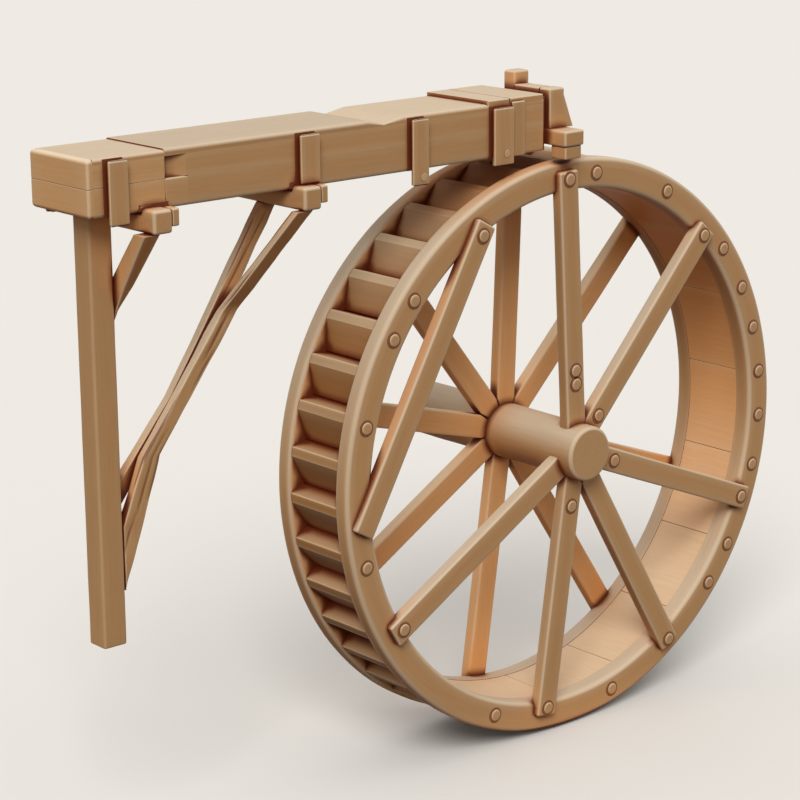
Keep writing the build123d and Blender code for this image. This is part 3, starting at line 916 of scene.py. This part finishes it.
@dataclass
class Launder(SubAssembly):
    """The boarded trough with its cover, end boards, cleats and cap boards.

    Each cleat is given by its middle, its width and its foot. Its core, behind its broad face, is narrower at
    the right by core_right and lower by core_drop. A thin dark strip of painted shade lies behind it, past it
    by wet_left, short of it by wet_right, and above it by wet_rise. Hidden parts go into their neighbours by
    let_in.
    """

    underside: float = 2690.0
    top: float = 3045.0
    half_width: float = 300.0
    side_thickness: float = 60.0
    floor_thickness: float = 50.0
    cover_underside: float = 3000.0
    left_top: float = 3035.0
    left: float = -220.0
    side_left: float = -180.0
    joint: float = 320.0
    dip: float = 1986.0
    dip_left: float = 1866.0
    dip_right: float = 2150.0
    dip_top: float = 3011.0
    floor_right: float = 3216.0
    cap_sunk: float = 30.0
    cap_rise: float = 25.0
    cap_arris: float = 10.0
    cap_end: float = 9.0
    cap_left: float = 2866.0
    cap_joint: float = 3060.0
    right: float = 3360.0
    notch_flat: float = 385.0
    notch_right: float = 478.0
    notch_floor: float = 2870.0
    notch_depth: float = 35.0
    notch_slope: float = 14.0
    arris: float = 26.0
    seam_arris: float = 3.0
    sharp: float = 0.05
    let_in: float = 4.0
    side_tone: float = 1.18
    end_tone: float = 1.28
    cover_tones: tuple[float, float, float] = (1.04, 0.93, 1.0)
    cleat_rows: Rows = (
        (-32.0, 135.0, 2640.0), (1372.0, 150.0, 2715.0), (2260.0, 135.0, 2600.0), (2974.0, 172.0, 2645.0),
    )
    cleat_gap: float = 26.0
    cleat_thickness: float = 45.0
    cleat_recess: float = 22.0
    cleat_drop: float = 24.0
    cleat_arris: float = 17.0
    cleat_back_arris: float = 4.0
    cleat_end: float = 14.0
    core_right: float = 8.0
    core_drop: float = 12.0
    strap_left: float = 3063.0
    strap_right: float = 3181.0
    strap_thickness: float = 20.0
    strap_arris: float = 9.0
    wet: float = 0.9
    wet_thickness: float = 2.0
    wet_left: float = 15.0
    wet_right: float = 12.0
    wet_rise: float = 9.0

    def floor(self) -> None:
        """The floor board."""
        inner = self.half_width - self.side_thickness
        cut = CutTimber("launder_floor_board", hewing=1.0)
        cut.board(
            (self.side_left, self.floor_right), (-inner, self.underside),
            (inner, self.underside + self.floor_thickness), 2.0, ALONG_X, (1.0, 3.0),
        )
        self.dress(cut, "launder_floor")

    def sides(self) -> None:
        """The side boards: two short ones, one above the other, and the long one with its housing."""
        middle = (self.underside + self.top) / 2
        inner, outer = self.half_width - self.side_thickness, self.half_width
        sharp, seam = self.sharp, self.seam_arris
        ledge_end, ledge = self.notch_right + self.let_in, outer - self.notch_depth
        # The housing's floor runs out to the board's face in a short slope with a softened foot and brow
        faces = [
            (self.joint, ledge), (self.notch_flat, ledge + 4),
            (self.notch_right - self.notch_slope, outer - 4), (self.notch_right, outer), (self.right, outer),
        ]
        for side in Side:
            low_y, high_y = side.span(inner, outer)
            front = side is Side.FRONT
            below = (self.arris, seam) if front else (seam, self.arris)
            short = CutTimber(f"left_side_{side.label}_boards", hewing=0.0)
            for low, high, arris in (
                (self.underside, middle, (seam, seam, *below)),
                (middle, self.cover_underside, (sharp, sharp, seam, seam)),
            ):
                short.board(
                    (self.side_left, self.joint), (low_y, low), (high_y, high), arris, ALONG_X, (sharp, 5.0),
                    tone=self.side_tone,
                )
            self.dress(short, f"left_side_{side.label}")

            long_board = CutTimber(f"long_side_{side.label}_board", hewing=0.0)
            for reach, above, ends in (
                ((self.joint, ledge_end), (sharp, 12.0) if front else (12.0, sharp), (5.0, sharp)),
                ((ledge_end, self.right), (sharp, sharp), (sharp, seam)),
            ):
                arris = (*above, *below)
                long_board.board(
                    reach, (low_y, self.underside), (high_y, self.notch_floor), arris, ALONG_X, ends
                )
            cuts = []
            foot = self.notch_floor - 0.02
            for x, face in spread(faces, 80):
                low_y, high_y = side.span(inner, face)
                cuts.append(squared(x, (low_y, foot), (high_y, self.cover_underside), sharp))
            long_board.sweep(cuts, ALONG_X, (sharp, seam))
            self.dress(long_board, f"long_side_{side.label}")

    def end_boards(self) -> None:
        """The two boards that close the left end, rounded on their outer edges and flush with the sides."""
        middle = (self.underside + self.left_top) / 2
        seam = 4.0
        for name, low, high, round_low, round_high in (
            ("end_board_lower", self.underside, middle, self.arris, seam),
            ("end_board_upper", middle, self.left_top, seam, self.arris),
        ):
            rows = [(low + back, inset) for back, inset in quarter_round(round_low)]
            rows += [(high - back, inset) for back, inset in quarter_round(round_high)]
            cuts = []
            for z, inset in sorted(rows):
                half = self.half_width - inset
                arris = (self.sharp, self.arris, self.arris, self.sharp)
                cuts.append(squared(z, (self.left + inset, -half), (self.side_left, half), arris))
            cut = CutTimber(f"{name}_plank", hewing=0.0)
            cut.sweep(
                cuts, ALONG_Z, (self.sharp, self.sharp), per_side=3, tone=self.end_tone, grain_axis=2
            )
            self.dress(cut, name)

    def covers(self) -> None:
        """The three cover boards, the right two hewn down to a shallow dip where they meet."""
        soft = (self.arris, self.arris, self.sharp, self.sharp)
        top, dip = self.top, (self.dip, self.dip_top)
        boards = (
            ("cover_left", self.sharp, [(self.side_left, self.left_top), (self.joint, self.left_top)]),
            ("cover_middle", self.seam_arris, [(self.joint, top), (self.dip_left, top), dip]),
            ("cover_right", self.seam_arris, [dip, (self.dip_right, top), (self.right, top)]),
        )
        for (name, left_arris, line), tone in zip(boards, self.cover_tones):
            cuts = [
                squared(x, (-self.half_width, self.cover_underside), (self.half_width, height), soft)
                for x, height in spread(line, 80)
            ]
            cut = CutTimber(f"{name}_board", hewing=0.0)
            cut.sweep(cuts, ALONG_X, (left_arris, 2.0), per_side=4, tone=tone)
            self.dress(cut, name)

    def cap_boards(self) -> None:
        """The two thicker boards over the outlet, let into the cover."""
        for name, left, right in (
            ("cap_board_left", self.cap_left, self.cap_joint),
            ("cap_board_right", self.cap_joint, self.right),
        ):
            cut = CutTimber(f"{name}_board", hewing=1.5, hewing_span=150)
            cut.board(
                (-self.half_width, self.half_width), (self.top - self.cap_sunk, left),
                (self.top + self.cap_rise, right), (self.cap_arris, self.cap_arris, 2.0, 2.0), ALONG_Y,
                (self.cap_end, self.cap_end),
            )
            self.dress(cut, name)

    def cleats(self) -> None:
        """The upright cleats that bind the side boards, rebated at the back, with the strap by the outlet."""
        wall, back, top = self.half_width, self.half_width - self.let_in, self.top - self.cleat_drop
        tight, wide, end = self.cleat_back_arris, self.cleat_arris, self.cleat_end
        for side in Side:
            cut = CutTimber(f"cleats_{side.label}_timber", hewing=1.5, hewing_span=140)
            shade_strip_low, shade_strip_high = side.span(back, wall + self.wet_thickness)
            core_low, core_high = side.span(back, wall + self.cleat_gap + 2)
            low_y, high_y = side.span(wall + self.cleat_gap, wall + self.cleat_thickness)
            arris = (tight, tight, wide, wide) if side is Side.FRONT else (wide, wide, tight, tight)
            for x, width, foot in self.cleat_rows:
                left, right = x - width / 2, x + width / 2
                bottom = max(foot, self.underside + self.let_in)
                # A thin dark strip on the side board behind the cleat: painted shade in the gap
                cut.board(
                    (bottom, top + self.wet_rise), (left - self.wet_left, shade_strip_low),
                    (right - self.wet_right, shade_strip_high), 1.0, ALONG_Z, (1.0, 1.0), 60, stain=self.wet,
                )
                cut.board(
                    (foot, top - self.core_drop), (left + self.cleat_recess, core_low),
                    (right - self.core_right, core_high), 3.0, ALONG_Z, (3.0, 3.0), 60,
                )
                cut.board((foot, top), (left, low_y), (right, high_y), arris, ALONG_Z, (end, end), 60)
            low_y, high_y = side.span(back, wall + self.strap_thickness)
            cut.board(
                (self.underside, self.top), (self.strap_left, low_y), (self.strap_right, high_y),
                self.strap_arris, ALONG_Z, (self.strap_arris, self.strap_arris), 60,
            )
            self.dress(cut, f"cleats_{side.label}")


@dataclass
class OutletFrame(SubAssembly):
    """The frame at the launder's right end, over the wheel."""

    launder_right: float = 3360.0
    left: float = 3400.0
    launder_underside: float = 2690.0
    launder_top: float = 3045.0
    board_half: float = 270.0
    board_stain: float = 0.8
    bearer_underside: float = 2725.0
    bearer_top: float = 2832.0
    bearer_width: float = 180.0
    bearer_half: float = 465.0
    bearer_arris: float = 17.0
    foot_underside: float = 2640.0
    foot_inner: float = 313.0
    foot_outer: float = 453.0
    foot_inset: float = 15.0
    foot_arris: float = 12.0
    let_in: float = 4.0
    upright_middles: Point = (-245.0, 95.0)
    upright_half: float = 55.0
    upright_arris: float = 16.0
    upright_left: float = 3418.0
    upright_right: float = 3555.0
    gusset_right: float = 3640.0
    bar_reach: Point = (-192.0, 42.0)
    bar_depth: float = 90.0
    bar_width: float = 120.0
    bar_top: float = 3095.0
    rear_top: float = 3180.0

    def end_board(self) -> None:
        """The board that closes the launder, darkened as painted shade where it stands back."""
        cut = CutTimber("outlet_end_plank", hewing=1.0)
        cut.board(
            (-self.board_half, self.board_half), (self.launder_underside, self.launder_right - 2),
            (self.launder_top, self.left), 5.0, ALONG_Y, (5.0, 5.0), stain=self.board_stain,
        )
        self.dress(cut, "outlet_end_board")

    def bearer(self) -> None:
        """The bearer under the uprights and its two foot blocks."""
        half, right = self.bearer_half, self.left + self.bearer_width
        bearer = CutTimber("outlet_bearer_timber", hewing=3.0, hewing_span=160)
        bearer.board(
            (-half, half), (self.bearer_underside, self.left), (self.bearer_top, right), self.bearer_arris,
            ALONG_Y, (self.bearer_arris, self.bearer_arris),
        )
        self.dress(bearer, "outlet_bearer")
        feet = CutTimber("bearer_foot_timber", hewing=2.0, hewing_span=100)
        low = (self.foot_underside, self.left + self.foot_inset)
        high = (self.bearer_underside + self.let_in, right - self.foot_inset)
        for side in Side:
            feet.board(
                side.span(self.foot_inner, self.foot_outer), low, high, self.foot_arris, ALONG_Y,
                (self.foot_arris, self.foot_arris), 50,
            )
        self.dress(feet, "bearer_feet")

    def uprights(self) -> None:
        """The two uprights, each with its spreading foot cut flush."""
        for side, middle, top in zip(Side, self.upright_middles, (self.bar_top, self.rear_top)):
            rows = (
                (self.bearer_top - 3, self.gusset_right), (self.launder_top, self.upright_right),
                (top, self.upright_right),
            )
            cuts = [
                squared(
                    z, (self.upright_left, middle - self.upright_half), (right, middle + self.upright_half),
                    self.upright_arris,
                )
                for z, right in spread(rows, 50)
            ]
            cut = CutTimber(f"outlet_upright_{side.label}_timber", hewing=2.0, hewing_span=140)
            cut.sweep(cuts, ALONG_Z, (3.0, self.upright_arris))
            self.dress(cut, f"outlet_upright_{side.label}")

    def top_bar(self) -> None:
        """The bar between the uprights."""
        cut = CutTimber("outlet_top_bar_timber", hewing=2.0, hewing_span=120)
        cut.board(
            self.bar_reach, (self.bar_top - self.bar_depth, self.upright_left),
            (self.bar_top, self.upright_left + self.bar_width), 13.0, ALONG_Y, (2.0, 2.0), 60,
        )
        self.dress(cut, "outlet_top_bar")


@dataclass
class WheelRims(SubAssembly):
    """The two rims of the wheel."""

    radius: float = 2000.0
    depth: float = 210.0
    inner_face: float = 230.0
    outer_face: float = 360.0
    soft_arris: float = 32.0
    sole_arris: float = 4.0
    sections: int = 240

    def rims(self) -> None:
        """The two rims, each one smooth ring with soft arrises."""
        half = self.depth / 2
        length = 2 * math.pi * (self.radius - half)
        # The corner against the sole stays sharp, so that the sole meets the rim without a groove
        soft, tight = self.soft_arris, self.sole_arris
        for side, seam, below in ((Side.FRONT, 92.0, (soft, tight)), (Side.REAR, 88.0, (tight, soft))):
            low_y, high_y = side.span(self.inner_face, self.outer_face)
            cuts = [
                squared(length * i / self.sections, (low_y, -half), (high_y, half), (soft, soft, *below))
                for i in range(self.sections)
            ]
            cut = CutTimber(f"rim_{side.label}_timber", hewing=2.0, hewing_span=420)
            cut.sweep(cuts, bent(self.radius - half, seam))
            self.dress(cut, f"rim_{side.label}")


@dataclass
class Sole(SubAssembly):
    """The boards that line the ring between the rims."""

    inner: float = 1795.0
    outer: float = 1840.0
    half_length: float = 233.0
    boards: int = 18
    first_seam: float = 7.5
    seam: float = 1.2
    arris: float = 3.5

    def sole(self) -> None:
        """The sole boards, laid side by side round the wheel with open seams."""
        cut = CutTimber("sole_boards", hewing=1.0)
        half = 2 * math.pi * self.outer / self.boards / 2 - self.seam / 2
        for board in range(self.boards):
            angle = self.first_seam + (board + 0.5) * 360 / self.boards
            cut.board(
                (-self.half_length, self.half_length), (-half, self.inner - self.outer), (half, 0),
                self.arris, crosswise(bent(self.outer, angle)), (0.5, 0.5), 115, per_side=9,
            )
        self.dress(cut, "sole")


@dataclass
class Buckets(SubAssembly):
    """The wedge-shaped bucket boards that stand on the sole."""

    count: int = 40
    groups: int = 3
    first: float = 2.1
    half_length: float = 233.0
    sole: float = 1840.0
    outer: float = 1985.0
    edge: float = 64.0
    lean: float = 50.0
    back_height: float = 40.0
    heel_depth: float = 10.0
    ledge_gap: float = 3.0

    def corners(self) -> tuple[tuple[float, float, float], ...]:
        """The wedge of one bucket board, in its own frame.

        Returns:
            Place round the wheel, place from the centre outward and arris radius of each corner.
        """
        half, slope = self.edge / 2, self.lean / (self.outer - self.sole)
        pitch = math.radians(360 / self.count)

        def on_ledge(out: float, turn: float, gap: float) -> Point:
            """A point of a board's ledge, turned round the wheel."""
            round_way, cos, sin = -half - slope * (self.outer - out) - gap, math.cos(turn), math.sin(turn)
            return round_way * cos + out * sin, out * cos - round_way * sin

        heel = self.sole - self.heel_depth
        return (
            (*on_ledge(heel, pitch, self.ledge_gap), 2.0),
            (*on_ledge(self.sole + self.back_height, pitch, self.ledge_gap), 9.0),
            (half, self.outer, 15.0),
            (-half, self.outer, 12.0),
            (*on_ledge(heel, 0.0, 0.0), 2.0),
        )

    def buckets(self) -> None:
        """The bucket boards, in groups of neighbours."""
        reach, corners = self.half_length, self.corners()
        cuts = [Cut(-reach + 2 * reach * part / 6, corners) for part in range(7)]
        for group in range(self.groups):
            cut = CutTimber(f"bucket_planks_{group + 1}", hewing=2.5, hewing_span=150)
            for board in range(group * self.count // self.groups, (group + 1) * self.count // self.groups):
                out = from_centre(self.first + board * 360 / self.count)
                cut.sweep(cuts, straight(WHEEL_CENTRE, Y_AXIS, -Y_AXIS.cross(out)), (1.0, 1.0))
            self.dress(cut, f"bucket_boards_{group + 1}")


@dataclass
class AxleAndArms(SubAssembly):
    """The round axle, the arms scribed to it, and the one board that runs past it from rim to rim.

    The ends of the chord board, the one that runs past, are given from its nearest point to the axle.
    """

    axle_radius: float = 195.0
    axle_front: float = -530.0
    axle_rear: float = 1200.0
    axle_arris: float = 26.0
    arm_width: float = 170.0
    arm_back: float = 318.0
    arm_face: float = 410.0
    arm_root: float = 170.0
    arm_arris: float = 17.0
    mitre_gap: float = 2.0
    front_angles: tuple[float, ...] = (93.0, 47.5, -21.8, -59.6, -98.5, -149.8)
    front_ends: tuple[float, ...] = (1935.0, 1865.0, 1872.0, 1890.0, 1882.0, 1900.0)
    rear_angles: tuple[float, ...] = (87.2, 45.0, -20.0, -56.5, -98.5, -149.5, -195.0, -232.0)
    rear_end: float = 1890.0
    chord_angle: float = 150.5
    chord_distance: float = 1547.0
    chord_reach: Point = (-1112.0, 1052.0)
    chord_width: float = 165.0

    def axle(self) -> None:
        """The axle, turned round, with soft ends."""
        shares = (0.1, 1.0, 1.0, 1.0, 0.2)
        front_end = [
            (self.axle_front + inset, self.axle_radius - back, share)
            for (back, inset), share in zip(reversed(quarter_round(self.axle_arris)), shares)
        ]
        rear_end = [(self.axle_front + self.axle_rear - along, *rest) for along, *rest in reversed(front_end)]
        start, end = self.axle_front + self.axle_arris, self.axle_rear - self.axle_arris
        count = round((end - start) / 70)
        body = [(start + (end - start) * i / count, self.axle_radius, 0.0) for i in range(1, count)]
        cut = CutTimber("axle_timber", hewing=9.0, hewing_span=300)
        cut.lathe([*front_end, *body, *rear_end], straight(WHEEL_CENTRE, Y_AXIS, Z_AXIS), 96)
        self.dress(cut, "axle")

    def arm_cuts(self, gap_low: float, gap_high: float, span: Point, end: float) -> list[Cut]:
        """Cross-sections of one arm, drawn in by the mitres to its neighbours near the axle.

        Args:
            gap_low: Half the angle to the neighbour on the section's low side.
            gap_high: Half the angle to the neighbour on the high side.
            span: The lowest and the highest Y of the arm.
            end: How far out from the axle's centre the arm reaches.

        Returns:
            The cross-sections from the root to the outer end.
        """
        half = self.arm_width / 2
        slopes = [math.tan(math.radians(gap)) for gap in (gap_low, gap_high)]
        shoulders = [half / slope + self.mitre_gap for slope in slopes]
        stops = sorted({self.arm_root, *(stop for stop in shoulders if stop > self.arm_root)})
        last = stops[-1]
        count = round((end - last) / 90)
        stops += [last + (end - last) * (i + 1) / count for i in range(count)]
        cuts = []
        for stop in stops:
            low, high = (min(half, (stop - self.mitre_gap) * slope) for slope in slopes)
            cuts.append(squared(stop, (-low, span[0]), (high, span[1]), self.arm_arris))
        return cuts

    def arms(self, side: Side) -> None:
        """The arms of one side, let into the rim at their outer ends.

        Args:
            side: Which arms.
        """
        angles = self.front_angles if side is Side.FRONT else self.rear_angles
        ends = self.front_ends if side is Side.FRONT else (self.rear_end,) * len(angles)
        span = side.span(self.arm_back, self.arm_face)
        cut = CutTimber(f"arms_{side.label}_timber", hewing=2.5, hewing_span=300)
        for arm, (angle, end) in enumerate(zip(angles, ends)):
            above = (angles[arm - 1] - angle) % 360 / 2
            below = (angle - angles[(arm + 1) % len(angles)]) % 360 / 2
            out = from_centre(angle)
            place = straight(WHEEL_CENTRE, out, Y_AXIS.cross(out))
            cut.sweep(self.arm_cuts(above, below, span, end), place, (1.0, self.arm_arris))
        self.dress(cut, f"arms_{side.label}")

    def chord(self) -> None:
        """The board that runs past the axle."""
        half, out = self.chord_width / 2, from_centre(self.chord_angle)
        cut = CutTimber("chord_timber", hewing=2.5, hewing_span=300)
        cut.board(
            self.chord_reach, (-half, -self.arm_face), (half, -self.arm_back), self.arm_arris,
            straight(WHEEL_CENTRE + out * self.chord_distance, Y_AXIS.cross(out), -out),
            (self.arm_arris, self.arm_arris),
        )
        self.dress(cut, "chord_board")


@dataclass
class PegHeads(SubAssembly):
    """The round heads that fasten the arms, the rims and two of the cleats, each of the wheel's in a thin dark
    ring of painted shade.

    Front pegs are given by their arm's angle and their distances from the centre, cleat pegs by X and Z.
    """

    head_radius: float = 41.0
    head_height: float = 11.0
    pitch_radius: float = 55.0
    pitch_height: float = 1.6
    pitch_stain: float = 0.68
    rim_face: float = 360.0
    arm_face: float = 410.0
    rim_pitch_radius: float = 1893.0
    rim_angles: tuple[float, ...] = (
        84.0, 62.1, 39.0, 27.7, 17.5, 7.0, -3.0, -14.2, -32.8, -42.5, -77.6, -112.3, -166.4,
        165.2, 147.4, 138.7,
    )
    clear_of_arm: float = 5.0
    front_pegs: tuple[tuple[float, tuple[float, ...]], ...] = (
        (93.0, (1880.0, 565.0, 470.0)), (47.5, (1800.0, 285.0)), (-21.8, (1800.0, 380.0)), (-59.6, (1842.0,)),
        (-98.5, (1822.0, 390.0)), (-149.8, (1820.0,)),
    )
    rear_peg: float = 1830.0
    chord_peg: float = 965.0
    cleat_face: float = 345.0
    cleat_peg_height: float = 3.0
    cleat_pegs_at: tuple[Point, ...] = ((2281.0, 2650.0), (2996.0, 2720.0))

    def head(self, cut: CutTimber, spot: Vector, side: Side) -> None:
        """Add one head in a thin dark ring, painted shade round its foot.

        Args:
            cut: The piece that it joins.
            spot: The point of the face that it sits on.
            side: The side that the face looks to.
        """
        place = straight(spot, Y_AXIS * side.value, Z_AXIS)
        low, wide, radius, top = self.pitch_height, self.pitch_radius, self.head_radius, self.head_height
        # The ring is darkened as painted shade round the head's foot
        ring = [(-6, wide, 0.0), (low - 0.6, wide, 0.0), (low, wide - 2, 0.0)]
        cut.lathe(ring, place, 32, stain=self.pitch_stain)
        dome = [
            (0, radius, 0.0), (top - 7, radius, 0.3), (top - 3, radius - 2, 1.0), (top - 1, radius - 7, 0.6),
            (top, radius - 15, 0.1),
        ]
        cut.lathe(dome, place, 28)

    def cleat_pegs(self) -> None:
        """The two peg ends that show at the feet of the right-hand cleats."""
        cut = CutTimber("cleat_peg_heads", hewing=0.2)
        top = self.cleat_face + self.cleat_peg_height
        peg = [(self.cleat_face - 8, 27, 0.0), (top - 2, 27, 0.2), (top - 0.8, 25, 0.7), (top, 21, 0.5)]
        for x, z in self.cleat_pegs_at:
            cut.lathe(peg, straight(Vector((x, 0, z)), -Y_AXIS, X_AXIS), 24)
        self.dress(cut)

    def wheel_heads(self, side: Side, arms: AxleAndArms) -> None:
        """The heads on one face of the wheel.

        Args:
            side: Which face.
            arms: The arms that the heads fasten.
        """
        cut = CutTimber(f"wheel_peg_heads_{side.label}", hewing=0.3)
        arm_angles = arms.front_angles if side is Side.FRONT else arms.rear_angles
        for angle in self.rim_angles:
            if min(abs((angle - arm + 180) % 360 - 180) for arm in arm_angles) > self.clear_of_arm:
                spot = from_centre(angle, self.rim_pitch_radius, side.value * self.rim_face)
                self.head(cut, WHEEL_CENTRE + spot, side)
        rear_pegs = tuple((angle, (self.rear_peg,)) for angle in arm_angles)
        for angle, radii in self.front_pegs if side is Side.FRONT else rear_pegs:
            for radius in radii:
                spot = from_centre(angle, radius, side.value * self.arm_face)
                self.head(cut, WHEEL_CENTRE + spot, side)
        if side is Side.FRONT:
            out = from_centre(arms.chord_angle)
            foot = WHEEL_CENTRE + out * arms.chord_distance
            self.head(cut, foot + Y_AXIS.cross(out) * self.chord_peg - Y_AXIS * self.arm_face, side)
        self.dress(cut)


@dataclass
class Studio:
    """The pale floor, the soft light and the camera."""

    floor_level: float = -1.392
    floor_middle: float = 2.0
    floor_radius: float = 90.0
    camera_at: Vector = field(default_factory=lambda: Vector((-8.187, -12.339, 5.392)))
    heading: float = 40.517
    look_down: float = 14.757
    roll: float = -0.5
    lens: float = 114.84
    lamp_strength: float = 1.75
    lamp_spread: float = 28.0
    lamp_from: Vector = field(default_factory=lambda: Vector((-0.52, -0.52, 0.67)))
    room_levels: tuple[Point, ...] = ((0.0, 0.17), (0.35, 0.5), (1.0, 0.78))
    room_seen: str = "#E4E1DB"

    def floor(self) -> None:
        """Lay the floor just below the wheel; it is no part of the object."""
        mesh = bpy.data.meshes.new("studio_floor")
        work = bmesh.new()
        bmesh.ops.create_circle(work, cap_ends=True, segments=96, radius=self.floor_radius)
        work.to_mesh(mesh)
        work.free()
        mesh.materials.append(StudioFloor().material())
        floor = bpy.data.objects.new("studio_floor", mesh)
        floor.location = (self.floor_middle, 0.0, self.floor_level)
        bpy.context.scene.collection.objects.link(floor)

    def light(self) -> None:
        """Light the plant with one broad lamp from the upper left of the front, in a room brighter above."""
        data = bpy.data.lights.new("key_lamp", "SUN")
        data.energy = self.lamp_strength
        data.angle = math.radians(self.lamp_spread)
        lamp = bpy.data.objects.new("key_lamp", data)
        lamp.rotation_euler = self.lamp_from.to_track_quat("Z", "Y").to_euler()
        bpy.context.scene.collection.objects.link(lamp)
        world = bpy.data.worlds.new("studio_room")
        bpy.context.scene.world = world
        tree = empty_tree(world)
        direction = add_node(tree, "ShaderNodeTexCoord")
        height = add_node(tree, "ShaderNodeSeparateXYZ", links={"Vector": direction.outputs["Generated"]})
        level = add_node(
            tree, "ShaderNodeMapRange", {"From Min": -0.2, "From Max": 0.9}, {"Value": height.outputs["Z"]}
        )
        sky = add_node(tree, "ShaderNodeValToRGB", links={"Fac": level.outputs["Result"]})
        fill_ramp(sky, [(position, (grey, grey, grey, 1.0)) for position, grey in self.room_levels])
        shown = add_node(
            tree, "ShaderNodeMix", {"data_type": "RGBA", 7: linear(self.room_seen)},
            {0: rays_that_show(tree), 6: sky.outputs["Color"]},
        )
        room = add_node(tree, "ShaderNodeBackground", links={"Color": shown.outputs[2]})
        add_node(tree, "ShaderNodeOutputWorld", links={"Surface": room.outputs["Background"]})

    def camera(self) -> None:
        """Set up the camera."""
        data = bpy.data.cameras.new("photograph_camera")
        data.lens = self.lens
        data.sensor_width = 36.0
        data.sensor_fit = "HORIZONTAL"
        data.clip_end = 400.0
        eye = bpy.data.objects.new("photograph_camera", data)
        turn = (
            Matrix.Rotation(math.radians(-self.heading), 4, "Z")
            @ Matrix.Rotation(math.radians(90 - self.look_down), 4, "X")
            @ Matrix.Rotation(math.radians(self.roll), 4, "Z")
        )
        eye.matrix_world = Matrix.Translation(self.camera_at) @ turn
        bpy.context.scene.collection.objects.link(eye)
        bpy.context.scene.camera = eye


def main() -> None:
    """Build the plant, sub-assembly by sub-assembly, and set the studio round it."""
    logging.basicConfig(level=logging.INFO, format="%(name)s: %(message)s")
    fixed = (PlanedLarch("planed_larch_frame").material(), "frame_timber", Body.LAUNDER_FRAME)
    turning = (PlanedLarch("planed_larch_wheel").material(), "wheel_timber", Body.WHEEL)
    bucket_painted_shade = (WettedLarch().material(), "wheel_timber", Body.WHEEL)
    inside_painted_light = (LarchHeartwood().material(), "wheel_timber", Body.WHEEL)

    struts = PostAndStruts(*fixed)
    struts.post()
    struts.knee()
    struts.rakers()
    bearers = Bearers(*fixed)
    bearers.bearers()
    bearers.blocks()
    launder = Launder(*fixed)
    launder.floor()
    launder.sides()
    launder.end_boards()
    launder.covers()
    launder.cap_boards()
    launder.cleats()
    outlet = OutletFrame(*fixed)
    outlet.end_board()
    outlet.bearer()
    outlet.uprights()
    outlet.top_bar()
    WheelRims(*turning).rims()
    Sole(*inside_painted_light).sole()
    Buckets(*bucket_painted_shade).buckets()
    wheel = AxleAndArms(*turning)
    wheel.axle()
    wheel.arms(Side.FRONT)
    AxleAndArms(*inside_painted_light).arms(Side.REAR)
    wheel.chord()
    heads = PegHeads(*turning)
    heads.wheel_heads(Side.FRONT, wheel)
    heads.wheel_heads(Side.REAR, wheel)
    PegHeads(*fixed).cleat_pegs()

    studio = Studio()
    studio.floor()
    studio.light()
    studio.camera()
    bpy.context.scene.view_settings.view_transform = "Standard"


if __name__ == "__main__":
    main()
